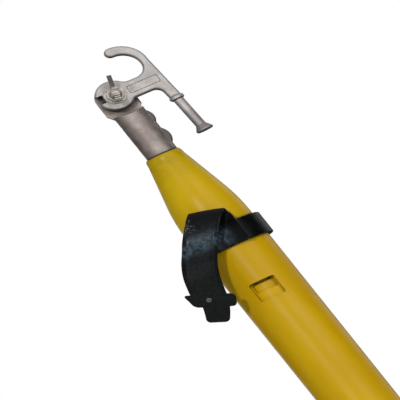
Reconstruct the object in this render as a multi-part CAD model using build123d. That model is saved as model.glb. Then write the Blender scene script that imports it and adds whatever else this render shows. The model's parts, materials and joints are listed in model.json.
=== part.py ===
from build123d import *
from math import asin, cos, degrees, pi, radians, sin, tan
import os

# A telescoping lineman's hot stick, closed: five nested insulating tubes, a sliding nose cone,
# a splined universal ferrule, a cast disconnect hook held by a wing screw, and a rubber strap.
# Origin: centre of the butt cap's underside. +Z runs up the stick to the hook, and -Y is the
# front, where the lock windows and the strap's tail are. All lengths are millimetres.

# Clearances
running_gap = 0.3
glue_gap = 0.1
seat_gap = 0.05
cut_over = 2.0

# Nested tubes, counted from 0, the base, to 4, the tip
section_count = 5
base_outer_r = 28.0
tube_wall = 2.6
guide_gap = 1.8
base_tube_length = 1207.0
mouth_step = 9.0

# Mouth collars
collar_flange = 3.0
collar_skirt = 28.0

# Lock windows and buttons
window_drop = 73.3
window_height = 20.0
window_width_share = 0.393
window_corner_r = 2.0
button_side_gap = 0.5
button_depth_share = 0.45
pocket_gap = 0.15
spring_room = 5.0
spring_leaf = 0.5
spring_width_share = 0.4
spring_span_share = 0.8

# Bottom plugs of the sliding tubes
plug_height = 36.0
spigot_height = 20.0
drain_r = 1.8
drain_place_share = 0.5

# Butt cap and the pad on its floor
cap_floor = 6.0
cap_wall = 3.6
cap_height = 48.0
cap_edge = 2.2
cap_rib_count = 3
cap_rib_pitch = 8.0
cap_rib_height = 0.9
cap_rib_width = 3.0
pad_thick = 8.0
pad_gap = 0.1

# Nose cone on the tip tube
nose_height = 85.2
nose_top_r = 15.5
nose_edge_drop = 6.0
nose_lip = 0.6
nose_cone_r = 24.4
nose_cone_drop = 48.0
nose_cavity_clear = 1.2
nose_cavity_head = 2.5

# Universal ferrule
ferrule_r = 12.6
ferrule_skirt = 25.0
ferrule_height = 47.0
ferrule_bore_roof = 4.0
saddle_gap = 8.0
saddle_flank = 9.0
ear_r = 14.8
ear_front = 8.0
ear_thick = 5.5
ear_side_drop = 15.0
ear_root_drop = 28.0
ear_hole_clear = 0.1
rib_thick = 7.0
rib_reach = 13.1
rib_edge_r = 0.9
boss_low_length = 24.0
boss_low_place = 15.5
boss_low_reach = 16.2
boss_high_length = 20.0
boss_high_place = 37.5
boss_high_reach = 15.2
rivet_r = 2.0
rivet_sink = 0.2
rivet_clear = 0.05

# Splines between the ferrule's ear and the hook's hub
spline_count = 24
spline_height = 1.8
spline_gap = 0.2
spline_inner_r = 7.0
spline_margin = 0.4
spline_sink = 0.4
spline_fill_share = 0.9

# Cast hook, measured from the hub's centre: x across, z up. Its hub clears the ferrule's deck
head_turn = 10.0
hub_r = 15.0
hub_deck_gap = 7.0
plate_front = -3.0
hub_hole_clear = 0.5
bar_top = 8.0
bar_bottom = -9.5
jaw_corner_r = 11.0
jaw_throat_x = 33.9
jaw_arm_r = 14.9
arm_tip_thick = 9.3
arm_back_r = 21.4
arm_back_rise = 1.5
spine_end_z = -23.5
spine_end_right = 43.8
spine_end_left = 34.5
spine_top_left = 33.1
hub_blend_top_r = 8.0
hub_blend_bottom_r = 3.5
spine_blend_r = 6.5
cast_edge_r = 2.2
notch_inner_x = 8.6
notch_top = 4.9
notch_bottom = -3.6
panel_left = 11.0
panel_right = 37.6
panel_top = 3.4
panel_bottom = -4.9
panel_corner_r = 1.8
panel_line = 0.9
panel_depth = 0.6

# Prong below the hook's spine
prong_r = 4.25
prong_top_x = 39.2
prong_tilt = 2.8
prong_collar_r = 6.1
prong_collar_height = 4.5
prong_collar_edge = 1.2
prong_length = 41.5
prong_flare_height = 5.0
prong_end_r = 7.2
prong_rim = 1.8
prong_end_edge = 0.8

# Wing screw, its washers and its clip
screw_r = 4.0
flat_washer_r = 8.5
flat_washer_thick = 1.5
spring_washer_r = 6.6
spring_washer_thick = 1.8
spring_washer_split = 1.2
washer_hole_clear = 0.3
screw_flange_r = 6.4
screw_flange_thick = 1.5
screw_boss_r = 4.8
screw_boss_height = 8.5
screw_dome_r = 3.9
wing_turn = 14.0
wing_thick = 3.4
wing_set_back = 3.0
wing_reach = 18.5
wing_lean = 4.0
wing_root = 7.0
wing_end = 4.6
wing_edge_r = 1.1
lobe_thick = 4.4
lobe_drop = 9.4
lobe_top = -0.4
lobe_rise = 3.0
lobe_edge_r = 1.6
lobe_groove_count = 3
lobe_groove = 0.9
screw_lift = 2.5
screw_end = 1.5
clip_r = 6.8
clip_thick = 1.2
clip_play = 0.3
clip_groove_share = 0.85

# Rubber strap: a ring round the base tube, a leg up its front and a tail folded over
strap_below_mouth = 0.6
strap_width = 22.4
strap_thick = 4.4
strap_fit_gap = 0.1
strap_ring_edge_r = 0.9
leg_thick = 3.6
leg_width = 25.0
leg_centre_x = 0.5
leg_clear = 0.7
leg_rise = 12.6
fold_angle = 13.75
fold_r = 5.0
tail_length = 82.0
tail_width = 25.2
tail_bow = 5.0
tee_width = 39.5
tee_height = 13.0
tee_corner_r = 2.5
tee_slant = 2.2
tongue_width = 20.0
tongue_end_width = 17.0
tongue_length = 16.0
tongue_shift = 2.4
tongue_corner_r = 3.5
stud_head_r = 2.4
stud_head_height = 1.1
stud_place = 2.5

# Places worked out from the sizes
base_mouth_z = cap_floor + base_tube_length + collar_flange
nose_top_z = base_mouth_z + running_gap + nose_height
hub_height = ferrule_height + hub_deck_gap + hub_r
hub_z = nose_top_z + hub_height
plate_back = ear_front - spline_gap - spline_height
ear_back = ear_front + ear_thick
tip = section_count - 1
prong_y = (plate_front + plate_back) / 2
flat_washer_front = plate_front - seat_gap - flat_washer_thick
spring_washer_front = flat_washer_front - seat_gap - spring_washer_thick
screw_seat = spring_washer_front - seat_gap
clip_front = ear_back + screw_lift + clip_play
strap_top = base_mouth_z - strap_below_mouth
strap_low = strap_top - strap_width
leg_back = -(base_outer_r + leg_clear)
leg_front = leg_back - leg_thick
fold_z = strap_top + leg_rise
fold_y = leg_back - leg_thick / 2 - fold_r
tail_high = leg_width / 2 * tan(radians(fold_angle))
tail_low = -tail_length - tee_height - tongue_length
tail_middle = (tail_high + tail_low) / 2
tail_bow_r = ((tail_high - tail_low) ** 2 / 4 + tail_bow**2) / (2 * tail_bow)


def tube_r(i):
    """Outer radius of tube i."""
    return base_outer_r - i * (tube_wall + guide_gap)


def bore_r(i):
    """Bore radius of tube i."""
    return tube_r(i) - tube_wall


def mouth_z(i):
    """Height of tube i's mouth, with its collar."""
    return base_mouth_z + i * mouth_step


def window_z(i):
    """Height of the centre of the lock window in tube i."""
    return mouth_z(i) - window_drop


def window_width(i):
    return window_width_share * 2 * tube_r(i)


def plug_z(i):
    """Height of the underside of tube i's bottom plug."""
    first = cap_floor + pad_thick + running_gap
    return first + (i - 1) * (plug_height + spigot_height + running_gap)


def button_z(i):
    return plug_z(i) + plug_height / 2


def travel(i):
    """How far tube i slides out until its button lies in the window of the tube outside it."""
    return window_z(i - 1) - button_z(i)


def upright(radius, low, high, x=0, y=0):
    """A solid cylinder along Z between two heights."""
    blank = Cylinder(radius, high - low, align=(Align.CENTER, Align.CENTER, Align.MIN))
    return Pos(x, y, low) * blank


def ring(outer, inner, low, high):
    """A plain ring along Z between two heights."""
    return upright(outer, low, high) - upright(inner, low - cut_over, high + cut_over)


def facing(radius, front, back, x=0, z=0):
    """A solid cylinder along Y, from its front face to its back face."""
    blank = Cylinder(radius, back - front, align=(Align.CENTER, Align.CENTER, Align.MAX))
    return Pos(x, front, z) * Rot(90, 0, 0) * blank


def facing_ring(outer, inner, front, back):
    return facing(outer, front, back) - facing(inner, front - cut_over, back + cut_over)


def sheet_from(face, front, back):
    """A flat face drawn in X and Z, made into a plate from its front to its back."""
    turned = Plane(origin=(0, back, 0), x_dir=(1, 0, 0), z_dir=(0, -1, 0)) * face
    return extrude(turned, back - front)


def on_head(part):
    """Moves a piece drawn round the hub's centre to its place on the ferrule."""
    return Pos(0, 0, hub_z) * Rot(0, 0, head_turn) * part


def window_cut(width, height, corner, near, far, z):
    """The block that cuts a round-cornered window through a tube's front wall."""
    return Pos(0, 0, z) * sheet_from(RectangleRounded(width, height, corner), -far, -near)


# Butt end and base tube


def make_butt_cap():
    outer_r = base_outer_r + strap_fit_gap + cap_wall
    body = chamfer(upright(outer_r, 0, cap_height).edges(), cap_edge)
    for k in range(cap_rib_count):
        low = cap_height - (k + 1) * cap_rib_pitch - cap_rib_width
        body += ring(outer_r + cap_rib_height, outer_r - cap_edge, low, low + cap_rib_width)
    return body - upright(base_outer_r + strap_fit_gap, cap_floor, cap_height + cut_over)


def make_rest_pad():
    return upright(bore_r(0) - pad_gap, cap_floor, cap_floor + pad_thick)


def make_tube(i):
    """Tube i, with the lock window for the button of the tube inside it."""
    low = cap_floor if i == 0 else plug_z(i) + plug_height
    high = mouth_z(i) - collar_flange
    body = ring(tube_r(i), bore_r(i), low, high)
    cut = window_cut(window_width(i), window_height, window_corner_r, 0, tube_r(i) + cut_over, window_z(i))
    return body - cut


def make_mouth_collar(i):
    """The guide ring in tube i's mouth: a flange on the tube's end and a skirt inside it."""
    inner = tube_r(i + 1) + running_gap
    high = mouth_z(i)
    flange = ring(tube_r(i), inner, high - collar_flange, high)
    skirt = ring(bore_r(i) - glue_gap, inner, high - collar_flange - collar_skirt, high - collar_flange)
    return flange + skirt


# Bottom plugs, lock buttons and their springs


def plug_r(i):
    return bore_r(i - 1) - running_gap


def button_size(i):
    """Width and height of tube i's button, which fits the window of the tube outside it."""
    return window_width(i - 1) - 2 * button_side_gap, window_height - 2 * button_side_gap


def button_back(i):
    return plug_r(i) * (1 - button_depth_share)


def pocket_floor(i):
    return button_back(i) - spring_room


def make_plug(i):
    """The plug in the bottom of tube i: a guide for the bore outside it and the button's housing."""
    radius = plug_r(i)
    low = plug_z(i)
    high = low + plug_height
    body = upright(radius, low, high) + upright(bore_r(i) - glue_gap, high, high + spigot_height)
    width, height = button_size(i)
    corner = window_corner_r + pocket_gap
    pocket_w = width + 2 * pocket_gap
    pocket_h = height + 2 * pocket_gap
    body -= window_cut(pocket_w, pocket_h, corner, pocket_floor(i), radius + cut_over, button_z(i))
    drain_y = radius * drain_place_share
    return body - upright(drain_r, low - cut_over, high + spigot_height + cut_over, 0, drain_y)


def make_button(i):
    """The lock button of tube i, held flush in its plug by the bore outside it."""
    width, height = button_size(i)
    radius = plug_r(i)
    block = window_cut(width, height, window_corner_r, button_back(i), radius + cut_over, button_z(i))
    face = upright(radius, plug_z(i), plug_z(i) + plug_height)
    return block & face


def make_button_spring(i):
    """A bowed leaf spring between the pocket's floor and the back of tube i's button."""
    width, height = button_size(i)
    half = height * spring_span_share / 2
    low = -pocket_floor(i) - seat_gap
    crown = -button_back(i) + seat_gap
    outline = [
        ThreePointArc((low, -half), (crown, 0), (low, half)),
        Line((low, half), (low, half - 2 * spring_leaf)),
        ThreePointArc((low, half - 2 * spring_leaf), (crown + spring_leaf, 0), (low, 2 * spring_leaf - half)),
        Line((low, 2 * spring_leaf - half), (low, -half)),
    ]
    leaf_width = width * spring_width_share
    side = Plane(origin=(-leaf_width / 2, 0, button_z(i)), x_dir=(0, 1, 0), z_dir=(1, 0, 0))
    return extrude(side * make_face(outline), leaf_width)


# Tip: core, nose cone, ferrule and rivets


def rivet_holes(clear):
    """The two cross holes through the ferrule and the tip tube."""
    reach = 2 * boss_low_reach + cut_over
    blank = Rot(0, 90, 0) * Cylinder(rivet_r + clear, reach)
    places = (boss_low_place, boss_high_place)
    return [Pos(0, 0, nose_top_z + place) * blank for place in places]


def tip_tube_top():
    return nose_top_z + ferrule_height - ferrule_bore_roof


def make_tip_tube():
    body = ring(tube_r(tip), bore_r(tip), plug_z(tip) + plug_height, tip_tube_top())
    for hole in rivet_holes(rivet_clear):
        body -= hole
    return body


def make_tip_core():
    """The foam filling of the tip tube, from its plug to its top."""
    low = plug_z(tip) + plug_height + spigot_height
    body = upright(bore_r(tip) - glue_gap, low, tip_tube_top())
    for hole in rivet_holes(rivet_clear):
        body -= hole
    return body


def make_nose_cone():
    """A hollow cone that rides on the tip tube and covers the stepped mouths of the others."""
    grip_r = ferrule_r + glue_gap
    tube_fit_r = tube_r(tip) + glue_gap
    rim = -nose_height
    outline = [
        Line((grip_r, 0), (grip_r + nose_lip, 0)),
        Bezier((grip_r + nose_lip, 0), (nose_top_r - nose_lip / 2, 0), (nose_top_r, -nose_edge_drop)),
        Line((nose_top_r, -nose_edge_drop), (nose_cone_r, -nose_cone_drop)),
        TangentArc(
            (nose_cone_r, -nose_cone_drop),
            (base_outer_r, rim),
            tangent=(nose_cone_r - nose_top_r, nose_edge_drop - nose_cone_drop),
        ),
    ]
    inner = []
    floor = rim
    for i in range(1, tip):
        radius = tube_r(i) + nose_cavity_clear
        roof = rim - running_gap + i * mouth_step + nose_cavity_head
        inner += [(radius, floor), (radius, roof)]
        floor = roof
    inner += [(tube_fit_r, floor), (tube_fit_r, -ferrule_skirt), (grip_r, -ferrule_skirt), (grip_r, 0)]
    outline.append(Polyline((base_outer_r, rim), *inner))
    return Pos(0, 0, nose_top_z) * revolve(Plane.XZ * make_face(outline), Axis.Z)


def spline_ridges(base_y, apex_y, outer_r, phase):
    """A ring of radial ridges on a flat face: each is a wedge that widens outwards."""
    sink = spline_sink if base_y > apex_y else -spline_sink
    ends = []
    for radius in (spline_inner_r, outer_r):
        half = spline_fill_share * pi * radius / spline_count
        points = [(radius, base_y + sink, -half), (radius, base_y, -half), (radius, apex_y, 0)]
        points += [(radius, base_y, half), (radius, base_y + sink, half)]
        ends.append(make_face(Polyline(*points, close=True)))
    ridge = loft(ends, ruled=True)
    pitch = 360 / spline_count
    return [Rot(0, (k + phase) * pitch, 0) * ridge for k in range(spline_count)]


def rivet_boss(place, length, reach):
    """The flat outline of a bulge on the ferrule's side rib, round a rivet."""
    arc = ThreePointArc((0, place - length / 2), (reach, place), (0, place + length / 2))
    chord = Line((0, place + length / 2), (0, place - length / 2))
    return make_face([arc, chord])


def make_rib():
    """The ferrule's right side rib, with a bulge round each rivet and a fine line down its front."""
    foot = ferrule_height - saddle_flank / 2
    rib = Pos(rib_reach / 2, foot / 2, 0) * Rectangle(rib_reach, foot)
    rib += rivet_boss(boss_low_place, boss_low_length, boss_low_reach)
    rib += rivet_boss(boss_high_place, boss_high_length, boss_high_reach)
    body = sheet_from(rib, -rib_thick / 2, rib_thick / 2)
    rims = body.faces().filter_by(Axis.Y).edges()
    rims = rims.filter_by_position(Axis.X, rib_reach - rib_edge_r, boss_low_reach)
    body = fillet(rims, rib_edge_r)
    return Pos(0, 0, nose_top_z) * body


def make_ear():
    """The splined ear, drawn round the hub's centre. Its sides run down into the socket."""
    outline = Polyline(
        (-ear_r, 0),
        (ear_r, 0),
        (ear_r, -ear_side_drop),
        (ferrule_r / 2, -ear_root_drop),
        (-ferrule_r / 2, -ear_root_drop),
        (-ear_r, -ear_side_drop),
        close=True,
    )
    ear = facing(ear_r, ear_front, ear_back) + sheet_from(make_face(outline), ear_front, ear_back)
    for ridge in spline_ridges(ear_front, ear_front - spline_height, ear_r - spline_margin, 1 / 2):
        ear += ridge
    flank_top = ferrule_height + saddle_flank - hub_height
    flank = Polyline(
        (-ferrule_r, flank_top),
        (ferrule_r, flank_top),
        (ferrule_r, -ear_side_drop),
        (ferrule_r / 2, -ear_root_drop),
        (-ferrule_r / 2, -ear_root_drop),
        (-ferrule_r, -ear_side_drop),
        close=True,
    )
    return ear + sheet_from(make_face(flank), 0, ear_front)


def make_ferrule():
    """The cast universal end: a socket over the tip tube, a saddle under the hub and a splined ear."""
    low = nose_top_z - ferrule_skirt
    top = nose_top_z + ferrule_height + saddle_flank
    body = upright(ferrule_r, low, top) + on_head(make_ear()) + make_rib()
    saddle = facing(hub_r + saddle_gap, -ear_r - cut_over, ear_front)
    body -= on_head(saddle)
    body -= on_head(facing(screw_r + ear_hole_clear, ear_front - spline_height - cut_over, ear_back + cut_over))
    body -= upright(tube_r(tip) + glue_gap, low - cut_over, tip_tube_top() + glue_gap)
    for hole in rivet_holes(rivet_clear):
        body -= hole
    return body


def make_rivets():
    """Two cross rivets, each flush in its bulge on the right and in the socket on the left."""
    out = []
    for place, reach in ((boss_low_place, boss_low_reach), (boss_high_place, boss_high_reach)):
        right = reach - rivet_sink
        left = rivet_sink - ferrule_r
        shank = Pos((left + right) / 2, 0, 0) * Rot(0, 90, 0) * Cylinder(rivet_r, right - left)
        out.append(Pos(0, 0, nose_top_z + place) * shank)
    return Compound(children=out)


# Cast hook


def hook_outline():
    """The hook's flat outline: hub, crossbar, jaw, arm and spine."""
    jaw_z = bar_top + jaw_corner_r
    jaw_x = jaw_throat_x - jaw_corner_r
    arm_x = jaw_throat_x - jaw_arm_r
    arm_low = jaw_z + jaw_arm_r
    arm_high = arm_low + arm_tip_thick
    back_z = jaw_z + arm_back_rise
    back_x = arm_x + arm_back_r
    tip_x = arm_x - arm_tip_thick / 2
    outline = [
        Line((0, bar_top), (jaw_x, bar_top)),
        TangentArc((jaw_x, bar_top), (jaw_throat_x, jaw_z), tangent=(1, 0)),
        TangentArc((jaw_throat_x, jaw_z), (arm_x, arm_low), tangent=(0, 1)),
        ThreePointArc((arm_x, arm_low), (tip_x, (arm_low + arm_high) / 2), (arm_x, arm_high)),
        TangentArc((arm_x, arm_high), (back_x, back_z), tangent=(1, 0)),
        Polyline(
            (back_x, back_z),
            (spine_end_right, spine_end_z),
            (spine_end_left, spine_end_z),
            (spine_top_left, bar_bottom),
            (0, bar_bottom),
            (0, bar_top),
        ),
    ]
    face = make_face(outline) + Circle(hub_r)
    spine_corner = face.vertices().sort_by_distance((spine_top_left, bar_bottom, 0))[0]
    face = fillet(spine_corner, spine_blend_r)
    bar_x = (hub_r**2 - bar_top**2) ** 0.5
    top_corner = face.vertices().sort_by_distance((bar_x, bar_top, 0))[0]
    face = fillet(top_corner, hub_blend_top_r)
    bar_x = (hub_r**2 - bar_bottom**2) ** 0.5
    bottom_corner = face.vertices().sort_by_distance((bar_x, bar_bottom, 0))[0]
    return fillet(bottom_corner, hub_blend_bottom_r)


def make_prong():
    """The round prong under the spine: collar, shaft and flared end, drawn as one profile."""
    shaft_low = -prong_length
    flare_low = shaft_low + prong_rim
    edge = prong_collar_edge
    points = [
        (0, 0),
        (prong_collar_r - edge, 0),
        (prong_collar_r, -edge),
        (prong_collar_r, edge - prong_collar_height),
        (prong_collar_r - edge, -prong_collar_height),
        (prong_r, -prong_collar_height),
        (prong_r, flare_low + prong_flare_height),
        (prong_end_r, flare_low),
        (prong_end_r, shaft_low + prong_end_edge),
        (prong_end_r - prong_end_edge, shaft_low),
        (0, shaft_low),
    ]
    body = revolve(Plane.XZ * make_face(Polyline(*points, close=True)), Axis.Z)
    return Pos(prong_top_x, prong_y, spine_end_z + edge) * Rot(0, -prong_tilt, 0) * body


def make_hook():
    """The cast disconnect hook with its splined hub, bare name panel and prong."""
    body = sheet_from(hook_outline(), plate_front, plate_back)
    rims = body.faces().filter_by(Axis.Y).edges()
    body = fillet(rims, cast_edge_r)
    for ridge in spline_ridges(plate_back, plate_back + spline_height, hub_r - cast_edge_r - spline_margin, 0):
        body += ridge
    body += make_prong()
    notch_low = (-hub_r - cut_over, notch_bottom)
    notch_size = (notch_low[0] + notch_inner_x) * -1, notch_top - notch_bottom
    notch_centre = (notch_low[0] + notch_size[0] / 2, notch_low[1] + notch_size[1] / 2)
    notch = Pos(notch_centre[0], notch_centre[1], 0) * Rectangle(notch_size[0], notch_size[1])
    body -= sheet_from(notch, plate_front - cut_over, plate_back + spline_height + cut_over)
    panel_w = panel_right - panel_left
    panel_h = panel_top - panel_bottom
    line = RectangleRounded(panel_w, panel_h, panel_corner_r)
    line -= RectangleRounded(panel_w - 2 * panel_line, panel_h - 2 * panel_line, panel_corner_r - panel_line)
    line = Pos((panel_left + panel_right) / 2, (panel_top + panel_bottom) / 2, 0) * line
    body -= sheet_from(line, plate_front - cut_over, plate_front + panel_depth)
    body -= facing(screw_r + hub_hole_clear, plate_front - cut_over, plate_back + spline_height + cut_over)
    return on_head(body)


# Wing screw, washers and clip


def make_flat_washer():
    back = flat_washer_front + flat_washer_thick
    return on_head(facing_ring(flat_washer_r, screw_r + washer_hole_clear, flat_washer_front, back))


def make_spring_washer():
    back = spring_washer_front + spring_washer_thick
    body = facing_ring(spring_washer_r, screw_r + washer_hole_clear, spring_washer_front, back)
    slot = Box(spring_washer_split, 2 * spring_washer_thick, spring_washer_r + cut_over)
    slot = Pos(0, (spring_washer_front + back) / 2, -(spring_washer_r + cut_over) / 2) * slot
    return on_head(body - slot)


def make_wing():
    """The long wing, a plate in Y and Z that leans forwards and has a rounded end."""
    flange_front = screw_seat - screw_flange_thick
    root = flange_front - screw_boss_height + wing_set_back
    face = make_face(
        Polyline(
            (flange_front, 0),
            (root, 0),
            (root - wing_lean, wing_reach),
            (root - wing_lean + wing_end, wing_reach),
            (flange_front, wing_root),
            close=True,
        )
    )
    face = fillet(face.vertices().group_by(Axis.Y)[-1], wing_edge_r)
    side = Plane(origin=(-wing_thick / 2, 0, 0), x_dir=(0, 1, 0), z_dir=(1, 0, 0))
    return extrude(side * face, wing_thick)


def make_lobe():
    """The short lobe under the boss, with grooves across its front for the thumb."""
    flange_front = screw_seat - screw_flange_thick
    front = flange_front - screw_boss_height - lobe_rise
    outline = Polyline(
        (flange_front, lobe_top),
        (front, lobe_top),
        (front, -lobe_drop),
        (flange_front, -lobe_drop / 2),
        close=True,
    )
    face = make_face(outline)
    face = fillet(face.vertices().group_by(Axis.X)[0], lobe_edge_r)
    side = Plane(origin=(-lobe_thick / 2, 0, 0), x_dir=(0, 1, 0), z_dir=(1, 0, 0))
    body = extrude(side * face, lobe_thick)
    pitch = (lobe_top + lobe_drop - 2 * lobe_edge_r) / lobe_groove_count
    for k in range(lobe_groove_count):
        z = lobe_top - lobe_edge_r - (k + 1 / 2) * pitch
        body -= Pos(0, front, z) * Rot(45, 0, 0) * Box(2 * lobe_thick, lobe_groove, lobe_groove)
    return body


def make_wing_screw():
    """The cast wing screw: shank, flange, domed boss, one long wing and one short lobe."""
    flange_front = screw_seat - screw_flange_thick
    boss_front = flange_front - screw_boss_height
    shank_end = clip_front + clip_thick + screw_end
    boss = facing(screw_boss_r, boss_front, flange_front)
    boss = fillet(boss.edges().sort_by(Axis.Y)[0], screw_dome_r)
    body = facing(screw_r, screw_seat, shank_end) + facing(screw_flange_r, flange_front, screw_seat) + boss
    body += Rot(0, wing_turn, 0) * (make_wing() + make_lobe())
    groove = facing_ring(screw_r + cut_over, screw_r * clip_groove_share, clip_front, clip_front + clip_thick)
    return on_head(body - groove)


def make_clip():
    """The ring in the screw's groove, which keeps the screw in the ferrule's ear."""
    inner = screw_r * clip_groove_share + seat_gap
    body = facing_ring(clip_r, inner, clip_front + seat_gap, clip_front + clip_thick - seat_gap)
    return on_head(body)


# Strap


def tail_frame():
    """The flat plane of the tail: x across it, y back up towards the fold."""
    shift = -tan(radians(fold_angle)) * fold_r * pi
    origin_x = leg_centre_x + shift * cos(radians(fold_angle))
    origin_z = fold_z - shift * sin(radians(fold_angle))
    turn = radians(2 * fold_angle)
    origin = (origin_x, fold_y - fold_r + leg_thick / 2, origin_z)
    return Plane(origin=origin, x_dir=(cos(turn), 0, -sin(turn)), z_dir=(0, -1, 0))


def make_strap():
    """The rubber strap as it hangs: ring, rising leg, fold, tail, cross tee and pull tongue."""
    inner = base_outer_r + strap_fit_gap
    body = fillet(upright(inner + strap_thick, strap_low, strap_top).edges(), strap_ring_edge_r)
    slope = tan(radians(fold_angle))
    half = leg_width / 2
    left = leg_centre_x - half
    right = leg_centre_x + half
    leg = Polyline(
        (left, strap_low + strap_ring_edge_r),
        (right, strap_low + strap_ring_edge_r),
        (right, fold_z - half * slope),
        (left, fold_z + half * slope),
        close=True,
    )
    body += sheet_from(make_face(leg), leg_front, leg_back)
    outer_r = fold_r + leg_thick / 2
    inner_r = fold_r - leg_thick / 2
    fold_length = leg_width / cos(radians(fold_angle))
    fold = Cylinder(outer_r, fold_length) - Cylinder(inner_r, fold_length)
    fold &= Pos(outer_r, 0, 0) * Box(2 * outer_r, 2 * outer_r, fold_length)
    fold = Rot(0, 90, 0) * Rot(0, 0, 180) * fold
    fold = Rot(0, fold_angle, 0) * fold
    body += Pos(leg_centre_x, fold_y, fold_z) * fold
    body += tail_frame() * make_tail()
    body -= upright(inner, strap_low - cut_over, strap_top + cut_over)
    return body


def make_tail():
    """The bowed tail with its tee and tongue, drawn in the tail's own frame: z is outwards."""
    half = tail_width / 2
    tee_low = -tail_length - tee_height
    outline = Polyline(
        (-half, -tail_high), (half, tail_high), (half, -tail_length), (-half, -tail_length), close=True
    )
    tee = Polyline(
        (-tee_width / 2, -tail_length),
        (tee_width / 2, -tail_length),
        (tee_width / 2 - tee_slant, tee_low),
        (tee_slant - tee_width / 2, tee_low),
        close=True,
    )
    tongue = Polyline(
        (-tongue_width / 2, tee_low + tongue_corner_r),
        (tongue_width / 2, tee_low + tongue_corner_r),
        (tongue_end_width / 2, tail_low),
        (-tongue_end_width / 2, tail_low),
        close=True,
    )
    tee_face = make_face(tee)
    tee_face = fillet(tee_face.vertices(), tee_corner_r)
    tongue_face = make_face(tongue)
    tongue_face = fillet(tongue_face.vertices().group_by(Axis.Y)[0], tongue_corner_r)
    shape = make_face(outline) + tee_face + Pos(tongue_shift, 0, 0) * tongue_face
    return extrude(shape, tail_bow + leg_thick) & tail_band()


def tail_band():
    """A bowed sheet of the strap's thickness, wider than the tee, from the fold to the tongue's end."""
    outer_z = tail_bow + leg_thick
    outline = [
        ThreePointArc((tail_high, 0), (tail_middle, tail_bow), (tail_low, 0)),
        Line((tail_low, 0), (tail_low, leg_thick)),
        ThreePointArc((tail_low, leg_thick), (tail_middle, outer_z), (tail_high, leg_thick)),
        Line((tail_high, leg_thick), (tail_high, 0)),
    ]
    side = Plane(origin=(-tee_width, 0, 0), x_dir=(0, 1, 0), z_dir=(1, 0, 0))
    return extrude(side * make_face(outline), 2 * tee_width)


def make_strap_stud():
    """The domed rivet in the strap's cross tee, square to the bowed face that it sits on."""
    place = -tail_length - stud_place
    lean = asin((place - tail_middle) / tail_bow_r)
    rise = tail_bow - tail_bow_r * (1 - cos(lean))
    head = Cylinder(stud_head_r, stud_head_height, align=(Align.CENTER, Align.CENTER, Align.MIN))
    head = Pos(0, 0, leg_thick + seat_gap) * fillet(head.edges().sort_by(Axis.Z)[-1], stud_head_height / 2)
    return tail_frame() * Pos(0, place, rise) * Rot(-degrees(lean), 0, 0) * head


def write(name, part):
    """Writes one named piece to its own file."""
    export_step(part, f"parts/{name}.step")


def main():
    os.makedirs("parts", exist_ok=True)
    names = ["base", "section_2", "section_3", "section_4", "tip"]
    write("butt_cap", make_butt_cap())
    write("rest_pad", make_rest_pad())
    for i in range(section_count):
        name = names[i]
        write(f"{name}_tube", make_tip_tube() if i == tip else make_tube(i))
        if i < tip:
            write(f"{name}_mouth_collar", make_mouth_collar(i))
        if i > 0:
            write(f"{name}_plug", make_plug(i))
            write(f"{name}_button", make_button(i))
            write(f"{name}_button_spring", make_button_spring(i))
            print(f"{name}: slides out {travel(i):.1f} mm")
    write("tip_core", make_tip_core())
    write("nose_cone", make_nose_cone())
    write("universal_ferrule", make_ferrule())
    write("ferrule_rivets", make_rivets())
    write("hook_head", make_hook())
    write("flat_washer", make_flat_washer())
    write("spring_washer", make_spring_washer())
    write("wing_screw", make_wing_screw())
    write("retaining_clip", make_clip())
    write("retention_strap", make_strap())
    write("strap_stud", make_strap_stud())


main()
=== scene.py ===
import json
from bisect import bisect_left
from collections import namedtuple
from math import cos, exp, pi, radians, sin, sqrt, tan

import bmesh
import bpy
from mathutils import Matrix, Vector


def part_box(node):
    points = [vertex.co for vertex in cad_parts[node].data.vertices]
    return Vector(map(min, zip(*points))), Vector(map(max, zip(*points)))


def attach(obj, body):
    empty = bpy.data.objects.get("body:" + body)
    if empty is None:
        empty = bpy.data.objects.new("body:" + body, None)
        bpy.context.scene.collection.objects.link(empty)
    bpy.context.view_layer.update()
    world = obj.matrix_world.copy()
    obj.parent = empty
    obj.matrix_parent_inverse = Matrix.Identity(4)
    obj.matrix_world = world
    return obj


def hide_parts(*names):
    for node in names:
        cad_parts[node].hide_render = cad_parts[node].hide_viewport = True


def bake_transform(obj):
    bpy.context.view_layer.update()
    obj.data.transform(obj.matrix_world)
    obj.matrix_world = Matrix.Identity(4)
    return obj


# A closed telescoping hot stick: yellow tubes and nose cone, a cast hook on a splined ferrule,
# and a folded rubber strap. Metres, in the solids' frame: +Z up the stick, -Y its front.

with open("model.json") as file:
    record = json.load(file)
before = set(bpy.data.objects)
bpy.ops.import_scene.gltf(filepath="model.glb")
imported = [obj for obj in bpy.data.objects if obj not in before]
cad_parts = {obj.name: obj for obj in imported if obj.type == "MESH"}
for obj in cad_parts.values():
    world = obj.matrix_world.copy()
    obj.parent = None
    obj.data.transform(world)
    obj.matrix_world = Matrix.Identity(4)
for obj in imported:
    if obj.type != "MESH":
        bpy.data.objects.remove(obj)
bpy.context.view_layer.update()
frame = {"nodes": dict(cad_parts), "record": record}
nodes = frame["nodes"]

MM = 0.001
NOSE_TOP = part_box("nose_cone")[1].z
TUBE_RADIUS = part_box("base_tube")[1].x

# The photograph's frame. Its picture is stretched sideways, and the stick leans to the upper left
# in it. The camera looks up from a little below and a little to the right.
STRETCH = 4 / 3
LEAN = radians(31.04)
CAMERA_RISE = radians(-6.0)
CAMERA_TURN = radians(3.0)
HALF_VIEW = radians(1.0)
PICTURE_HEIGHT = 400 * MM
AIM_BELOW_NOSE = 53.6 * MM
AIM_SIDE = 0.9 * MM
SENSOR = 36.0
CLIP_DISTANCES = 4

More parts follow.
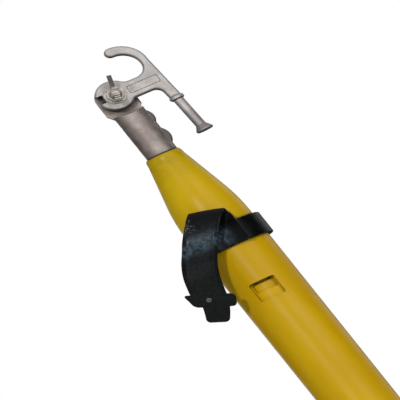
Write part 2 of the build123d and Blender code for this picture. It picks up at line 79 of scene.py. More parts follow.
# Light, where a level of 1 shows a white surface as white. Each lamp has its azimuth, elevation,
# level and softness, with angles in degrees. Azimuth 0 is the front and 90 the right.
AMBIENT = 0.26
LAMPS = {
    "key": (38, 14, 0.34, 40),
    "flash": (-7, 16, 0.41, 4),
    "back": (200, 50, 0.25, 60),
}
FLOOR_RADIUS = 6.0
FLOOR_SIDES = 96
FLOOR_GREY = 0.86
FLOOR_ROUGHNESS = 0.9

# Dark cards round the stick, by azimuth, with their widths
CARD_WIDTHS = {-108: 2.4, 92: 1.3, 180: 1.5}
CARD_DISTANCE = 1.6
CARD_HEIGHT = 3.4
CARD_GREY = 0.02
CARD_ROUGHNESS = 1.0


def linear(red, green, blue):
    """A screen colour from 0 to 255, as the linear colour that a shader takes."""
    shares = [part / 255 for part in (red, green, blue)]
    straight = [s / 12.92 if s <= 0.04045 else ((s + 0.055) / 1.055) ** 2.4 for s in shares]
    return (*straight, 1.0)


def towards(azimuth, elevation=0):
    """The direction from the stick to a place round it. Azimuth 0 is the front, 90 the right."""
    turn = radians(azimuth)
    rise = radians(elevation)
    return Vector((sin(turn) * cos(rise), -cos(turn) * cos(rise), sin(rise)))


def clamped(share):
    return min(max(share, 0), 1)


# Camera, world, lights and floor


def make_camera():
    """A far camera whose sideways axis is sheared, because a camera can't stretch a picture."""
    data = bpy.data.cameras.new("camera")
    camera = bpy.data.objects.new("camera", data)
    stand = bpy.data.objects.new("camera_stand", None)
    for item in (camera, stand):
        bpy.context.scene.collection.objects.link(item)
    distance = PICTURE_HEIGHT / 2 / tan(HALF_VIEW)
    data.sensor_width = SENSOR
    data.lens = SENSOR / 2 / tan(HALF_VIEW)
    data.clip_end = CLIP_DISTANCES * distance
    side = Vector((cos(CAMERA_TURN), sin(CAMERA_TURN), 0))
    back = Vector((side.y, -side.x, 0)) * cos(CAMERA_RISE) + Vector((0, 0, sin(CAMERA_RISE)))
    rise = back.cross(side)
    right = side * cos(LEAN) - rise * sin(LEAN)
    up = side * sin(LEAN) + rise * cos(LEAN)
    sheared = right / STRETCH + back * sqrt(1 - 1 / STRETCH**2)
    place = Vector((AIM_SIDE, 0, NOSE_TOP - AIM_BELOW_NOSE)) + back * distance
    columns = Matrix((sheared, up, back)).transposed().to_4x4()
    camera.parent = stand
    camera.matrix_parent_inverse = Matrix.Translation(place) @ columns
    bpy.context.scene.camera = camera


def seen_directly(tree):
    """1 for rays that show the background: camera, mirror and see-through rays."""
    path = tree.nodes.new("ShaderNodeLightPath")
    seen = path.outputs["Is Camera Ray"]
    for name in ("Is Glossy Ray", "Is Transmission Ray"):
        larger = tree.nodes.new("ShaderNodeMath")
        larger.operation = "MAXIMUM"
        tree.links.new(seen, larger.inputs[0])
        tree.links.new(path.outputs[name], larger.inputs[1])
        seen = larger.outputs[0]
    return seen


def make_world():
    """A white background that lights the stick at the ambient level only."""
    world = bpy.data.worlds.new("studio")
    world.use_nodes = True
    tree = world.node_tree
    strength = tree.nodes.new("ShaderNodeMapRange")
    strength.inputs["To Min"].default_value = AMBIENT
    tree.links.new(seen_directly(tree), strength.inputs["Value"])
    background = tree.nodes["Background"]
    background.inputs["Color"].default_value = (1, 1, 1, 1)
    tree.links.new(strength.outputs[0], background.inputs["Strength"])
    bpy.context.scene.world = world
    bpy.context.scene.view_settings.view_transform = "Standard"


def add_lamp(name, azimuth, elevation, level, softness):
    """A far lamp that shines on the stick from that direction."""
    data = bpy.data.lights.new(name, "SUN")
    data.energy = level * pi
    data.angle = radians(softness)
    light = bpy.data.objects.new(name, data)
    light.rotation_euler = towards(azimuth, elevation).to_track_quat("Z", "Y").to_euler()
    bpy.context.scene.collection.objects.link(light)


def plain_material(name, grey, roughness):
    """An even grey, for the floor and the cards."""
    material = bpy.data.materials.new(name)
    material.use_nodes = True
    shader = material.node_tree.nodes["Principled BSDF"]
    shader.inputs["Base Color"].default_value = (grey, grey, grey, 1)
    shader.inputs["Roughness"].default_value = roughness
    return material


def make_floor():
    """A wide round floor under the stick."""
    bpy.ops.mesh.primitive_circle_add(
        vertices=FLOOR_SIDES, radius=FLOOR_RADIUS, fill_type="NGON"
    )
    floor = bpy.context.object
    floor.name = "floor"
    floor.data.materials.append(plain_material("floor", FLOOR_GREY, FLOOR_ROUGHNESS))


def add_card(azimuth, width):
    """A dark card off camera, which darkens the sides of glossy surfaces and casts no shadow."""
    half = width / 2
    corners = [(-half, 0, 0), (half, 0, 0), (half, 0, CARD_HEIGHT), (-half, 0, CARD_HEIGHT)]
    mesh = bpy.data.meshes.new("card")
    mesh.from_pydata(corners, [], [(0, 1, 2, 3)])
    mesh.materials.append(plain_material("card", CARD_GREY, CARD_ROUGHNESS))
    card = bpy.data.objects.new(f"card_{azimuth}", mesh)
    card.location = towards(azimuth) * CARD_DISTANCE
    card.rotation_euler = (0, 0, radians(azimuth))
    card.visible_camera = False
    card.visible_diffuse = False
    card.visible_shadow = False
    bpy.context.scene.collection.objects.link(card)


# Materials

# Sockets of the Mix node for colours
MIX_SHARE = 0
MIX_FIRST = 6
MIX_SECOND = 7
MIX_RESULT = 2

CREVICE_SAMPLES = 8
CREVICE_OPEN = 0.85
CREVICE_DEEP = 0.25
EDGE_SAMPLES = 6
EDGE_FLAT = 0.99
EDGE_SHARP = 0.80
UNDERSIDE_LEVEL = -0.25
UNDERSIDE_STEEP = -0.75

# Laid over a material's own tones, as screen colours from 0 to 255
GEL_SMEAR = (142, 106, 20)
GEL_SCRATCH = (214, 186, 78)
GEL_SPECK = (96, 70, 24)
# Painted shade in the gel coat's corners and gaps
GEL_CREVICE_SHADE = (96, 66, 16)
# Darker towards the cone's top
CONE_TOP_DARKER = (140, 120, 10)
CONE_JOINT = (34, 36, 14)
# Painted bluish sheen where the strap bows
RUBBER_PAINTED_SHEEN = (74, 92, 106)
# Whitish flecks of painted highlight near the strap's fold
RUBBER_HIGHLIGHT_FLECK = (150, 146, 150)
# Painted shade that darkens the strap's lower tail
RUBBER_MATT_SHADE = (8, 7, 4)
RUBBER_DUST = (66, 62, 54)
# Paler rubbed edges, partly painted highlight
RUBBER_WORN_AND_HIGHLIGHT = (58, 58, 58)
METAL_STAIN = (122, 102, 94)
METAL_PIT = (84, 79, 76)
# Dark marks on the castings, also used as painted shade on the ferrule's rib
METAL_MARK_AND_SHADE = (58, 53, 50)
# Painted shade on the castings' undersides
METAL_UNDERSIDE_SHADE = (62, 57, 54)
# Painted shade in the castings' recesses
METAL_CREVICE_SHADE = (28, 25, 23)
# Rubbed edges of the castings, partly painted highlight
METAL_WORN_AND_HIGHLIGHT = (214, 209, 203)
# Painted shade in the steel's corners
STEEL_CREVICE_SHADE = (42, 38, 34)
STEEL_WORN = (226, 222, 214)
NYLON_RUBBED = (150, 150, 146)
# Painted shade in the nylon's corners
NYLON_CREVICE_SHADE = (24, 22, 20)
FOAM_AGED = (140, 118, 76)

# The rubber's highlights are bluish, and its lower tail, darkened as painted shade, is rougher by
# this much
RUBBER_GLOSS_TINT = (0.78, 0.92, 1.0, 1.0)
MATT_ROUGHER = 0.3

# The least rubbing and painted highlight along a casting's edges, as a share of the most
METAL_WORN_AND_HIGHLIGHT_LEAST = 0.2

# The cone's darker top, and the dark joint line under its rim
TOP_DARKER_REACH = 42 * MM
JOINT_LINE_LOW = NOSE_TOP - 1.1 * MM
JOINT_LINE_HIGH = NOSE_TOP - 0.5 * MM

# The painted bluish sheen where the strap's leg and tail bow, in front of the stick and to its left
SHEEN_TOP = NOSE_TOP - 84 * MM
SHEEN_MIDDLE = NOSE_TOP - 97 * MM
SHEEN_BOTTOM = NOSE_TOP - 108 * MM
SHEEN_RIGHT = 10 * MM
SHEEN_FULL_RIGHT = -2 * MM
SHEEN_BACK = -24 * MM
SHEEN_FULL_BACK = -30 * MM

# The whitish flecks of painted highlight on the tail's upper left, and its lower part, darker as
# painted shade and rougher
HIGHLIGHT_FLECKS_RIGHT = -13 * MM
HIGHLIGHT_FLECKS_FULL_RIGHT = -17 * MM
HIGHLIGHT_FLECKS_FULL_BOTTOM = SHEEN_TOP + 3 * MM
MATT_SHADE_TOP = NOSE_TOP - 112 * MM
MATT_SHADE_FULL_TOP = NOSE_TOP - 132 * MM

# Dark marks on the castings, with painted shade down the ferrule's rib: an axis, where the mark
# starts and is full, and its strength
WING_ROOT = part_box("wing_screw")[1].z - 13 * MM
PRONG_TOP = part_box("hook_head")[0].z + 24 * MM
# Painted shade down the ferrule's rib, on its right side
RIB_SHADE = ("X", 11.6 * MM, 12.6 * MM, 0.85)
JOINT_MARK = ("Z", NOSE_TOP + 1.3 * MM, NOSE_TOP + 0.5 * MM, 0.85)
PRONG_MARK = ("Z", PRONG_TOP + 3 * MM, PRONG_TOP - 3 * MM, 0.32)
WING_MARK = ("Z", WING_ROOT, WING_ROOT + 2 * MM, 0.85)


class Paint:
    """A material under way: its shader, its tone so far and its bumps. Sizes are in millimetres."""

    def __init__(self, name, roughness, metal=0.0, specular=0.5):
        self.material = bpy.data.materials.new(name)
        self.material.use_nodes = True
        self.tree = self.material.node_tree
        self.shader = self.tree.nodes["Principled BSDF"]
        self.roughness = roughness
        self.set(self.shader, "Metallic", metal)
        self.set(self.shader, "Specular IOR Level", specular)
        self.spot = self.add("TexCoord", {}).outputs["Object"]
        self.tone = None
        self.relief = None

    def set(self, node, name, value):
        if isinstance(value, bpy.types.NodeSocket):
            self.tree.links.new(value, node.inputs[name])
        else:
            node.inputs[name].default_value = value

    def add(self, kind, inputs, **settings):
        node = self.tree.nodes.new("ShaderNode" + kind)
        for name, value in settings.items():
            setattr(node, name, value)
        for name, value in inputs.items():
            self.set(node, name, value)
        return node

    # Values from 0 to 1 over the surface

    def stretched(self, along):
        """The place on the piece, with what is drawn on it made longer up the stick."""
        scale = (1 / MM, 1 / MM, 1 / MM / along)
        return self.add("Mapping", {"Vector": self.spot, "Scale": scale}).outputs[0]

    def noise(self, size, along=1.0, detail=3.0, rough=0.55, warp=0.0):
        inputs = {"Scale": 1 / size, "Detail": detail, "Roughness": rough, "Distortion": warp}
        inputs["Vector"] = self.stretched(along)
        return self.add("TexNoise", inputs).outputs["Fac"]

    def cells(self, size):
        inputs = {"Scale": 1 / size, "Vector": self.stretched(1.0)}
        return self.add("TexVoronoi", inputs).outputs["Distance"]

    def span(self, value, low, high, least=0.0, most=1.0):
        """The value's share of the way from low to high, eased, as a value from least to most."""
        inputs = {"Value": value, "From Min": low, "From Max": high}
        inputs.update({"To Min": least, "To Max": most})
        return self.add("MapRange", inputs, interpolation_type="SMOOTHSTEP").outputs["Result"]

    def patches(self, low, high, least=0.0, most=1.0, **look):
        """Soft patches: least where the noise of that look is under low, most where over high."""
        return self.span(self.noise(**look), low, high, least, most)

    def times(self, first, second):
        return self.add("Math", {0: first, 1: second}, operation="MULTIPLY").outputs[0]

    def plus(self, first, second):
        return self.add("Math", {0: first, 1: second}, operation="ADD").outputs[0]

    def crevice(self, reach):
        """1 deep in a corner or gap, 0 on an open face."""
        shade = self.add("AmbientOcclusion", {"Distance": reach * MM}, samples=CREVICE_SAMPLES)
        return self.span(shade.outputs["AO"], CREVICE_OPEN, CREVICE_DEEP)

    def edge(self, radius):
        """1 along an outer or inner edge, 0 on a smooth face."""
        softened = self.add("Bevel", {"Radius": radius * MM}, samples=EDGE_SAMPLES).outputs[0]
        normal = self.add("NewGeometry", {}).outputs["Normal"]
        both = self.add("VectorMath", {0: softened, 1: normal}, operation="DOT_PRODUCT")
        return self.span(both.outputs["Value"], EDGE_FLAT, EDGE_SHARP)

    def facing_down(self):
        """1 on undersides, 0 on upright and upper faces."""
        normal = self.add("NewGeometry", {}).outputs["Normal"]
        parts = self.add("SeparateXYZ", {"Vector": normal})
        return self.span(parts.outputs["Z"], UNDERSIDE_LEVEL, UNDERSIDE_STEEP)

    def beyond(self, axis, start, full):
        """0 before the start on an axis, 1 past where it is full. Metres on the piece."""
        parts = self.add("SeparateXYZ", {"Vector": self.spot})
        return self.span(parts.outputs[axis], start, full)

    # What the values do

    def blend(self, first, second, share):
        """Starts the tone: it goes from the first screen colour to the second by the share."""
        self.tone = linear(*first)
        self.cover(second, share)

    def cover(self, colour, share, strength=1.0):
        """Lays a screen colour over the tone by the share, at most as much as the strength."""
        if strength != 1.0:
            share = self.times(share, strength)
        inputs = {MIX_SHARE: share, MIX_FIRST: self.tone, MIX_SECOND: linear(*colour)}
        mix = self.add("Mix", inputs, data_type="RGBA", clamp_factor=True)
        self.tone = mix.outputs[MIX_RESULT]

    def bump(self, height, depth):
        """Raises the surface by the height, which runs from 0 to 1, times a depth."""
        inputs = {"Height": height, "Distance": depth * MM, "Strength": 1.0}
        if self.relief is not None:
            inputs["Normal"] = self.relief
        self.relief = self.add("Bump", inputs).outputs[0]

    def done(self, roughness_change):
        """Joins the tone, the bumps and the uneven roughness to the shader."""
        self.set(self.shader, "Base Color", self.tone)
        self.set(self.shader, "Roughness", self.plus(roughness_change, self.roughness))
        self.set(self.shader, "Normal", self.relief)
        return self.material


def yellow_gel(name, bright, deep, worn, cone=False):
    """Gel-coated fibreglass or moulded plastic: mottling, fine scratches, painted shade in corners.
    """
    paint = Paint(name, roughness=0.31, specular=0.14)
    paint.blend(deep, bright, paint.patches(size=52, along=3, low=0.34, high=0.66))
    smear = paint.patches(
        size=13, along=2.2, detail=5, rough=0.62, warp=0.8, low=0.58, high=0.78, most=0.16
    )
    paint.cover(GEL_SMEAR, smear)
    scratch = paint.patches(size=0.8, along=70, detail=2, low=0.70, high=0.78, most=0.22)
    paint.cover(GEL_SCRATCH, scratch)
    paint.cover(GEL_SPECK, paint.patches(size=0.9, detail=2, low=0.74, high=0.80, most=0.5))
    # Painted shade in corners and gaps
    paint.cover(GEL_CREVICE_SHADE, paint.crevice(reach=2), strength=0.2)
    if cone:
        # The cone gets darker towards its top, in patches
        patchy = paint.patches(size=7, detail=4, low=0.3, high=0.7, least=0.3, most=0.6)
        near_top = paint.beyond("Z", NOSE_TOP - TOP_DARKER_REACH, NOSE_TOP)
        paint.cover(CONE_TOP_DARKER, paint.times(near_top, patchy))
        paint.cover(CONE_JOINT, paint.beyond("Z", JOINT_LINE_LOW, JOINT_LINE_HIGH))
    patchy = paint.patches(size=3, detail=4, low=0.35, high=0.6, least=0.2, most=0.8)
    paint.cover(worn, paint.times(paint.edge(radius=0.45), patchy))
    paint.bump(paint.noise(size=6, along=2, detail=2), depth=0.05)
    paint.bump(paint.noise(size=0.7, detail=2), depth=0.005)
    paint.bump(scratch, depth=-0.02)
    return paint.done(
        paint.patches(size=16, along=3, detail=4, low=0.3, high=0.7, least=-0.06, most=0.10)
    )


def rubber(name, deep, pale):
    """Moulded black rubber with a painted bluish sheen, flecks of painted highlight, painted shade
    towards the tail's end, dust, and paler rubbed edges with painted highlight.
    """
    paint = Paint(name, roughness=0.25, specular=0.085)
    paint.set(paint.shader, "Specular Tint", RUBBER_GLOSS_TINT)
    mottle = paint.patches(size=9, detail=4, rough=0.6, low=0.42, high=0.72, most=0.7)
    paint.blend(deep, pale, mottle)
    # Painted bluish sheen where the strap's leg and tail bow out
    above = paint.beyond("Z", SHEEN_BOTTOM, SHEEN_MIDDLE)
    below = paint.beyond("Z", SHEEN_TOP, SHEEN_MIDDLE)
    sheen_band = paint.times(above, below)
    sheen_band = paint.times(sheen_band, paint.beyond("X", SHEEN_RIGHT, SHEEN_FULL_RIGHT))
    sheen_band = paint.times(sheen_band, paint.beyond("Y", SHEEN_BACK, SHEEN_FULL_BACK))
    cloudy = paint.patches(
        size=3.2, along=1.5, detail=5, rough=0.66, low=0.38, high=0.7, least=0.08, most=0.8
    )
    paint.cover(RUBBER_PAINTED_SHEEN, paint.times(sheen_band, cloudy))
    # Whitish flecks of painted highlight on the tail's upper left
    left = paint.beyond("X", HIGHLIGHT_FLECKS_RIGHT, HIGHLIGHT_FLECKS_FULL_RIGHT)
    highlight_area = paint.times(left, paint.beyond("Z", SHEEN_TOP, HIGHLIGHT_FLECKS_FULL_BOTTOM))
    flecks = paint.patches(size=1.6, detail=4, rough=0.7, low=0.52, high=0.66, most=0.55)
    paint.cover(RUBBER_HIGHLIGHT_FLECK, paint.times(highlight_area, flecks))
    # The tail's lower part is darker, as painted shade, and rougher
    matt_and_shade = paint.beyond("Z", MATT_SHADE_TOP, MATT_SHADE_FULL_TOP)
    paint.cover(RUBBER_MATT_SHADE, matt_and_shade, strength=0.8)
    paint.cover(RUBBER_DUST, paint.patches(size=0.8, low=0.68, high=0.82, most=0.22))
    # Paler rubbed edges, with painted highlight along them
    patchy = paint.patches(size=2.4, detail=4, low=0.35, high=0.65, least=0.1, most=0.45)
    paint.cover(RUBBER_WORN_AND_HIGHLIGHT, paint.times(paint.edge(radius=0.6), patchy))
    paint.bump(paint.noise(size=6, detail=2), depth=0.12)
    paint.bump(paint.noise(size=0.35, detail=2), depth=0.004)
    gloss = paint.patches(
        size=3.5, detail=5, rough=0.65, low=0.35, high=0.7, least=-0.03, most=0.12
    )
    return paint.done(paint.plus(gloss, paint.times(matt_and_shade, MATT_ROUGHER)))


def cast_metal(name, light, dark, shade_reach, wear_and_highlight, marks):
    """Fine sand-cast alloy: grain, faint mottling, stains, dark marks with some painted shade,
    painted shade in recesses and on undersides, and rubbed edges with painted highlight.
    """
    paint = Paint(name, roughness=0.52, metal=0.7)
    paint.blend(dark, light, paint.patches(size=9, detail=5, low=0.32, high=0.68))
    stain = paint.patches(
        size=15, along=1.4, detail=4, rough=0.6, warp=0.6, low=0.55, high=0.75, most=0.45
    )
    paint.cover(METAL_STAIN, stain)
    pits = paint.patches(size=1, detail=2, low=0.64, high=0.72)
    paint.cover(METAL_PIT, pits, strength=0.4)
    # Dark marks, and painted shade on the ferrule's rib
    for axis, start, full, strength in marks:
        paint.cover(METAL_MARK_AND_SHADE, paint.beyond(axis, start, full), strength)
    # Painted shade on undersides
    paint.cover(METAL_UNDERSIDE_SHADE, paint.facing_down(), strength=0.8)
    # Painted shade in recesses, as far as the shade reach
    paint.cover(METAL_CREVICE_SHADE, paint.crevice(shade_reach), strength=0.95)
    # Rubbed edges, with painted highlight along them
    patchy = paint.patches(
        size=2, detail=4, low=0.35, high=0.65, least=METAL_WORN_AND_HIGHLIGHT_LEAST * wear_and_highlight, most=wear_and_highlight
    )
    paint.cover(METAL_WORN_AND_HIGHLIGHT, paint.times(paint.edge(radius=0.5), patchy))
    grain = paint.noise(size=0.42, rough=0.7)
    paint.bump(paint.noise(size=3.2), depth=0.06)
    paint.bump(grain, depth=0.028)
    paint.bump(pits, depth=-0.03)
    return paint.done(paint.span(grain, low=0.3, high=0.7, least=-0.05, most=0.12))


def plated_steel(name, light, dark, roughness):
    """Zinc-plated or bright steel: fine brushing, dulled patches and painted shade in corners."""
    paint = Paint(name, roughness, metal=1.0)
    patch = paint.patches(size=2.6, detail=5, rough=0.6, low=0.35, high=0.68)
    paint.blend(dark, light, patch)
    # Painted shade in corners
    paint.cover(STEEL_CREVICE_SHADE, paint.crevice(reach=3), strength=0.9)
    paint.cover(STEEL_WORN, paint.edge(radius=0.35), strength=0.5)
    paint.bump(paint.noise(size=1.4, detail=4), depth=0.05)
    paint.bump(paint.noise(size=0.25, detail=2), depth=0.01)
    return paint.done(paint.patches(size=0.9, low=0.3, high=0.7, least=-0.08, most=0.16))


def turned_nylon(name, light, dark):
    """Machined plastic: faint turning lines round the axis and rubbed marks along it."""
    paint = Paint(name, roughness=0.48)
    paint.blend(dark, light, paint.patches(size=5, along=2, detail=4, low=0.3, high=0.7))
    rubbed = paint.patches(size=0.8, along=18, detail=2, low=0.62, high=0.74, most=0.4)
    paint.cover(NYLON_RUBBED, rubbed)
    # Painted shade in corners
    paint.cover(NYLON_CREVICE_SHADE, paint.crevice(reach=3), strength=0.6)
    paint.bump(paint.noise(size=0.5, along=0.2, detail=2), depth=0.02)
    return paint.done(paint.patches(size=2, low=0.3, high=0.7, least=-0.06, most=0.12))


def closed_foam(name, wall, hollow):
    """Cut closed-cell foam: packed small cells."""
    paint = Paint(name, roughness=0.85)
    cell = paint.span(paint.cells(size=0.9), low=0.1, high=0.6)
    paint.blend(wall, hollow, cell)
    paint.cover(FOAM_AGED, paint.patches(size=9, low=0.55, high=0.75, most=0.3))
    paint.bump(cell, depth=-0.2)
    return paint.done(paint.patches(size=1, low=0.3, high=0.7, least=-0.05, most=0.05))


def slot_finishes():
    """The material of each material slot, with its tones as screen colours from 0 to 255."""
    return {
        "yellow_tube": yellow_gel(
            "yellow_tube", bright=(196, 158, 4), deep=(186, 146, 0), worn=(212, 178, 82)
        ),
        "yellow_plastic": yellow_gel(
            "yellow_plastic", bright=(200, 166, 8), deep=(190, 152, 2), worn=(212, 182, 80)
        ),
        # Lighter than the base tube: cleaner, and lighter still as painted light against the shade
        # in the window's recess
        "inner_tube": yellow_gel(
            "inner_tube", bright=(206, 170, 8), deep=(196, 156, 4), worn=(220, 188, 90)
        ),
        "black_rubber": rubber("black_rubber", deep=(8, 7, 5), pale=(14, 15, 17)),
        "grey_nylon": turned_nylon("grey_nylon", light=(128, 128, 124), dark=(104, 104, 100)),
        "button_plastic": turned_nylon("button_plastic", light=(62, 62, 60), dark=(44, 44, 43)),
        "spring_steel": plated_steel(
            "spring_steel", light=(178, 178, 176), dark=(136, 135, 132), roughness=0.3
        ),
        "foam": closed_foam("foam", wall=(226, 212, 170), hollow=(176, 158, 112)),
        "cast_metal": cast_metal(
            "cast_metal", light=(164, 159, 156), dark=(146, 141, 138),
            shade_reach=5, wear_and_highlight=0.5, marks=[PRONG_MARK],
        ),
        "steel": plated_steel("steel", light=(168, 164, 156), dark=(112, 108, 102), roughness=0.36),
    }


def own_finishes():
    """The materials of the nodes that don't look like the rest of their slot."""
    return {
        "nose_cone": yellow_gel(
            "cone_plastic", cone=True,
            bright=(200, 167, 10), deep=(190, 153, 4), worn=(212, 184, 80),
        ),
        "universal_ferrule": cast_metal(
            "ferrule_metal", light=(144, 134, 129), dark=(122, 112, 107),
            shade_reach=9, wear_and_highlight=0.95, marks=[RIB_SHADE, JOINT_MARK],
        ),
        "wing_screw": cast_metal(
            "screw_metal", light=(178, 172, 166), dark=(150, 144, 138),
            shade_reach=2.5, wear_and_highlight=0.7, marks=[WING_MARK],
        ),
        "strap_stud": plated_steel(
            "stud_steel", light=(84, 82, 78), dark=(52, 50, 46), roughness=0.28
        ),
    }


def finish_nodes(finishes):
    """Gives each solid its own finish, or else the finish of its material slot."""
    own = own_finishes()
    for part in frame["record"]["subparts"]:
        mesh = nodes[part["node"]].data
        mesh.materials.clear()
        mesh.materials.append(own.get(part["node"], finishes[part["material_slot"]]))


# Meshes

SHARP_ANGLE = radians(38)


def new_piece(name, bm, material):
    """An object with that mesh, smooth but for its sharp edges."""
    mesh = bpy.data.meshes.new(name)
    bmesh.ops.recalc_face_normals(bm, faces=bm.faces)
    bm.to_mesh(mesh)
    bm.free()
    mesh.materials.append(material)
    mesh.shade_smooth()
    mesh.set_sharp_from_angle(angle=SHARP_ANGLE)
    piece = bpy.data.objects.new(name, mesh)
    bpy.context.scene.collection.objects.link(piece)
    return piece


def close_sweep(bm, loops, joined=False):
    """Skins a run of equal loops, and closes its ends unless the run is joined to itself."""
    count = len(loops[0])
    for k in range(len(loops) if joined else len(loops) - 1):
        first = loops[k]
        second = loops[(k + 1) % len(loops)]
        for i in range(count):
            j = (i + 1) % count
            bm.faces.new((first[i], first[j], second[j], second[i]))
    if not joined:
        bm.faces.new(loops[0])
        bm.faces.new(loops[-1])


def rounded(reach, corner, inset):
    """How far an outline with a round corner reaches, at a distance inwards from its end."""
    if inset >= corner:
        return reach
    return reach - corner + sqrt(max(corner**2 - (corner - inset) ** 2, 0))


def corner_steps(corner, parts):
    """Distances inwards from a round corner's end, even round its curve."""
    return [corner * (1 - cos(pi / 2 * k / parts)) for k in range(parts)]


# Strap: a ring round the tube, a leg up its front, a fold, and a tail with a tee and a tongue.
# Heights are from the nose's top, and distances along the strap start at the leg's bottom

STRAP_THICK = 3.6 * MM
EDGE_ROUND = 0.8 * MM
RING_THICK = 4.4 * MM
RING_GAP = 0.1 * MM
RING_LOW = -109.2 * MM
RING_HIGH = -86.4 * MM
RING_ROUND = 1.1 * MM
LEG_HALF = 14.0 * MM
TAIL_HALF = 13.8 * MM
TAIL_START = 52.0 * MM
TEE_HALF = 19.9 * MM
TEE_SLANT = 4.0 * MM
TEE_SHIFT = 2.0 * MM
TEE_LENGTH = 13.0 * MM
TEE_ROUND = 3.5 * MM
TONGUE_HALF = 10.2 * MM
TONGUE_END_HALF = 8.6 * MM
TONGUE_LENGTH = 15.5 * MM
TONGUE_ROUND = 3.5 * MM
TONGUE_SHIFT = 2.4 * MM

# The leg follows the ring's curve up to the first distance, and not at all past the second
WRAP_START = 20.0 * MM
WRAP_END = 46.0 * MM
WRAP_LIMIT = 0.9

# The raised bead along each edge of the tail, and the groove inside it
BEAD_HEIGHT = 0.5 * MM
BEAD_WIDTH = 0.45 * MM
BEAD_INSET = 1.7 * MM
BEAD_START = 50.0 * MM
BEAD_RISE = 6.0 * MM
GROOVE_INSET = 2.1 * BEAD_INSET
GROOVE_SHARE = 0.45

ROUTE_PARTS = 14
SECTION_PARTS = 40
TEE_CORNER_PARTS = 6
TONGUE_CORNER_PARTS = 8
STEP_WIDTH = 0.04 * MM
RING_PARTS = 24
RING_TURNS = 144

# The strap's centreline from the ring up the leg, over the fold and down the tail. Millimetres
# to the right, to the front and up from the nose's top, then the slope across it in degrees
STRAP_ROUTE = [
    (2.2, 30.5, -108.5, 0),
    (2.2, 30.5, -93.3, 0),
    (2.2, 30.6, -81.3, 6),
    (1.8, 31.2, -74.9, 14),
    (0.8, 35.0, -70.1, 17.7),
    (-2.6, 39.4, -73.5, 18),
    (-8.2, 42.6, -80.6, 18.5),
    (-16.5, 44.8, -91.6, 19),
    (-23.1, 44.75, -101.9, 19.5),
    (-29.6, 44.2, -112.1, 21),
    (-35.2, 43.7, -124.3, 23.5),
    (-38.9, 43.7, -137.7, 26.5),
    (-41.1, 44.1, -148.3, 27.8),
    (-45.1, 43.6, -159.1, 28),
    (-50.1, 42.9, -168.9, 28),
]

Station = namedtuple("Station", "place across outward along")


def catmull_rom(a, b, c, d, share):
    """A value between b and c on the smooth curve through four values."""
    bend = 2 * b + (c - a) * share
    bend += (2 * a - 5 * b + 4 * c - d) * share**2
    bend += (3 * b - a - 3 * c + d) * share**3
    return bend / 2


def smooth_route(points, parts):
    """Points along a smooth curve through the given ones."""
    padded = [points[0], *points, points[-1]]
    out = []
    for four in zip(padded, padded[1:], padded[2:], padded[3:]):
        for step in range(parts):
            out.append([catmull_rom(*values, step / parts) for values in zip(*four)])
    return out + [points[-1]]


def strap_stations():
    """The strap's middle, its directions across and out, and the distance along it, by station."""
    rows = smooth_route(STRAP_ROUTE, ROUTE_PARTS)
    places = [Vector((x * MM, -y * MM, NOSE_TOP + z * MM)) for x, y, z, _ in rows]
    slopes = [radians(slope) for *_, slope in rows]
    stations = []
    along = 0.0
    for k, (place, slope) in enumerate(zip(places, slopes)):
        if k:
            along += (place - places[k - 1]).length
        ahead = places[min(k + 1, len(places) - 1)] - places[max(k - 1, 0)]
        across = Vector((cos(slope), 0, -sin(slope)))
        stations.append(Station(place, across, ahead.cross(across).normalized(), along))
    return stations


def station_at(stations, mark):
    """The station at a distance along the strap, between the two that lie next to it."""
    before = bisect_left([station.along for station in stations], mark) - 1
    before = min(max(before, 0), len(stations) - 2)
    first = stations[before]
    second = stations[before + 1]
    share = (mark - first.along) / (second.along - first.along)
    place = first.place.lerp(second.place, share)
    across = first.across.lerp(second.across, share).normalized()
    outward = first.outward.lerp(second.outward, share).normalized()
    return Station(place, across, outward, mark)


def strap_marks(stations, tail_end):
    """Where the sections lie along the strap: at its stations, and closer at its corners.

    The last lies just before the end, where the tongue still has some width.
    """
    end = stations[-1].along
    marks = [station.along for station in stations]
    marks += [end - step for step in corner_steps(TONGUE_ROUND, TONGUE_CORNER_PARTS)]
    for corner in (tail_end, tail_end + TEE_LENGTH):
        for step in [STEP_WIDTH, *corner_steps(TEE_ROUND, TEE_CORNER_PARTS)[1:]]:
            marks += [corner - step, corner + step]
    last = end - STEP_WIDTH / 4
    return sorted(mark for mark in set(marks) if mark < last) + [last]


def strap_width(along, tail_end):
    """The strap's half width and sideways shift at a distance along it."""
    tee_end = tail_end + TEE_LENGTH
    end = tee_end + TONGUE_LENGTH
    if along < tail_end:
        return LEG_HALF + (TAIL_HALF - LEG_HALF) * min(along / TAIL_START, 1), 0
    if along < tee_end:
        inset = min(along - tail_end, tee_end - along)
        share = (along - tail_end) / TEE_LENGTH
        return rounded(TEE_HALF - TEE_SLANT * share, TEE_ROUND, inset), TEE_SHIFT * share
    taper = (TONGUE_HALF - TONGUE_END_HALF) * (along - tee_end) / TONGUE_LENGTH
    return rounded(TONGUE_HALF - taper, TONGUE_ROUND, end - along), TONGUE_SHIFT


def strap_section(half, beads):
    """The strap's outline across: distance from the middle, and height of front or back."""
    front = []
    back = []
    for k in range(SECTION_PARTS + 1):
        across = sin(pi / 2 * (2 * k / SECTION_PARTS - 1)) * half
        inset = half - abs(across)
        level = rounded(STRAP_THICK / 2, EDGE_ROUND, inset)
        ridge = exp(-(((inset - BEAD_INSET) / BEAD_WIDTH) ** 2))
        groove = GROOVE_SHARE * exp(-(((inset - GROOVE_INSET) / BEAD_WIDTH) ** 2))
        front.append((across, level + beads * BEAD_HEIGHT * (ridge - groove)))
        back.append((across, -level))
    return front + back[-2:0:-1]


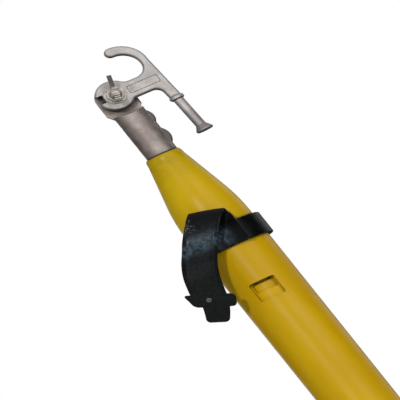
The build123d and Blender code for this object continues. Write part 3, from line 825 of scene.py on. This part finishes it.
def wrap_depth(across, along):
    """How far the leg falls back to follow the ring's curve, which fades out towards the fold."""
    radius = TUBE_RADIUS + RING_THICK
    share = clamped((WRAP_END - along) / (WRAP_END - WRAP_START))
    return share * (radius - sqrt(radius**2 - min(abs(across), WRAP_LIMIT * radius) ** 2))


def add_ring(bm):
    """The strap's ring round the base tube."""
    middle = TUBE_RADIUS + RING_GAP + RING_THICK / 2
    half = (RING_HIGH - RING_LOW) / 2
    centre = Vector((0, 0, NOSE_TOP + (RING_LOW + RING_HIGH) / 2))
    outline = []
    for k in range(RING_PARTS + 1):
        rise = -cos(pi * k / RING_PARTS) * half
        outline.append((rounded(RING_THICK / 2, RING_ROUND, half - abs(rise)), rise))
    outline += [(-level, rise) for level, rise in outline[::-1]]
    loops = []
    for k in range(RING_TURNS):
        out = towards(360 * k / RING_TURNS)
        spots = [centre + out * (middle + level) + Vector((0, 0, rise)) for level, rise in outline]
        loops.append([bm.verts.new(spot) for spot in spots])
    close_sweep(bm, loops, joined=True)


def make_strap(material):
    """The whole strap as one piece, which stands for the solid one."""
    stations = strap_stations()
    tail_end = stations[-1].along - TONGUE_LENGTH - TEE_LENGTH
    bm = bmesh.new()
    loops = []
    for mark in strap_marks(stations, tail_end):
        here = station_at(stations, mark)
        half, shift = strap_width(mark, tail_end)
        beads = clamped((mark - BEAD_START) / BEAD_RISE) if mark < tail_end else 0
        loop = []
        for side, level in strap_section(half, beads):
            spot = here.place + here.across * (side + shift)
            spot += here.outward * (level - wrap_depth(spot.x, mark))
            loop.append(bm.verts.new(spot))
        loops.append(loop)
    close_sweep(bm, loops)
    add_ring(bm)
    strap = new_piece("strap", bm, material)
    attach(strap, "base")
    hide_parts("retention_strap")


# Leaf springs behind the lock buttons

LEAF_THICK = 0.5 * MM
LEAF_PARTS = 24


def arc_depth(height, half, rise):
    """How far an arc of this half length and rise stands out at a height from its middle."""
    radius = (half**2 + rise**2) / (2 * rise)
    return rise - radius + sqrt(radius**2 - height**2)


def make_leaf(tube, material):
    """A bowed leaf in the box of the tube's button spring, whose solid it hides."""
    node = tube + "_button_spring"
    low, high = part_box(node)
    middle = (low.z + high.z) / 2
    half = (high.z - low.z) / 2
    rise = high.y - low.y
    arcs = [
        (half, rise, (low.x, high.x)),
        (half - 2 * LEAF_THICK, rise - LEAF_THICK, (high.x, low.x)),
    ]
    bm = bmesh.new()
    loops = []
    for k in range(LEAF_PARTS + 1):
        share = 2 * k / LEAF_PARTS - 1
        loop = []
        for arc_half, arc_rise, sides in arcs:
            height = arc_half * share
            depth = high.y - arc_depth(height, arc_half, arc_rise)
            loop += [bm.verts.new((x, depth, middle + height)) for x in sides]
        loops.append(loop)
    close_sweep(bm, loops)
    leaf = new_piece(tube + "_leaf", bm, material)
    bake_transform(leaf)
    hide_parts(node)


make_camera()
make_world()
for name, lamp in LAMPS.items():
    add_lamp(name, *lamp)
make_floor()
for azimuth, width in CARD_WIDTHS.items():
    add_card(azimuth, width)
finishes = slot_finishes()
finish_nodes(finishes)
make_strap(finishes["black_rubber"])
for tube in ("section_2", "section_3", "section_4", "tip"):
    make_leaf(tube, finishes["spring_steel"])
